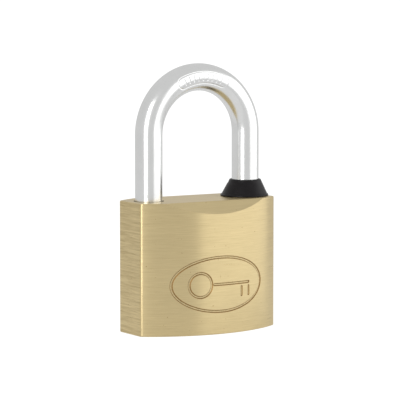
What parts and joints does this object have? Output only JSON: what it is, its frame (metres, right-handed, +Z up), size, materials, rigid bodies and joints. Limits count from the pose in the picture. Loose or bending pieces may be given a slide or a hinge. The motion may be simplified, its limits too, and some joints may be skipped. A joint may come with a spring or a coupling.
{
  "type": "padlock",
  "caption": "Brass padlock with bowed faces, a long round chromed shackle that lifts, a rubber boot at its heel and a keyed plug below.",
  "frame": {"origin": "middle of the body's bottom face", "axes": "+Z up along the shackle legs, -Y out of the front face with the oval, +X towards the heel leg and its boot"},
  "size_m": [0.0505, 0.029, 0.0851],
  "materials": {
    "brass_body": "satin, brushed along the width",
    "chrome_shackle": "polished plate",
    "black_rubber": "smooth satin",
    "plug_brass": "turned",
    "pin_brass": "turned",
    "hardened_steel": "ground",
    "spring_wire": "drawn wire"
  },
  "bodies": {
    "case": {"lock_body": "brass_body", "heel_boot": "black_rubber", "bolt_bore_filler": "brass_body", "heel_stop_pin": "hardened_steel", "plug_retaining_pin": "hardened_steel", "bolt_spring": "spring_wire", "heel_spring": "spring_wire", "chamber_filler_1": "brass_body", "chamber_filler_2": "brass_body", "chamber_filler_3": "brass_body", "chamber_filler_4": "brass_body", "chamber_filler_5": "brass_body", "driver_pin_1": "hardened_steel", "driver_pin_2": "hardened_steel", "driver_pin_3": "hardened_steel", "driver_pin_4": "hardened_steel", "driver_pin_5": "hardened_steel", "pin_spring_1": "spring_wire", "pin_spring_2": "spring_wire", "pin_spring_3": "spring_wire", "pin_spring_4": "spring_wire", "pin_spring_5": "spring_wire"},
    "shackle_bar": {"shackle": "chrome_shackle"},
    "plug_unit": {"plug": "plug_brass", "bolt_cam": "hardened_steel", "key_pin_1": "pin_brass", "key_pin_2": "pin_brass", "key_pin_3": "pin_brass", "key_pin_4": "pin_brass", "key_pin_5": "pin_brass"},
    "toe_bolt_unit": {"toe_bolt": "hardened_steel"},
    "heel_bolt_unit": {"heel_bolt": "hardened_steel"}
  },
  "joints": [
    {"name": "shackle_lift", "type": "slide", "parent": "case", "child": "shackle_bar", "axis": [0, 0, 1], "range_m": [0, 0.014], "deforming": ["heel_spring"]},
    {"name": "plug_turn", "type": "hinge", "parent": "case", "child": "plug_unit", "pos_m": [0, 0, 0], "axis": [0, 0, 1], "range_deg": [-90, 0]},
    {"name": "toe_bolt_slide", "type": "slide", "parent": "case", "child": "toe_bolt_unit", "axis": [-1, 0, 0], "range_m": [0, 0.0023], "deforming": ["bolt_spring"]},
    {"name": "heel_bolt_slide", "type": "slide", "parent": "case", "child": "heel_bolt_unit", "axis": [1, 0, 0], "range_m": [0, 0.0023]}
  ],
  "couplings": [
    {"joint": "toe_bolt_slide", "follows": "plug_turn", "m_per_rad": -0.0014642},
    {"joint": "heel_bolt_slide", "follows": "plug_turn", "m_per_rad": -0.0014642}
  ]
}
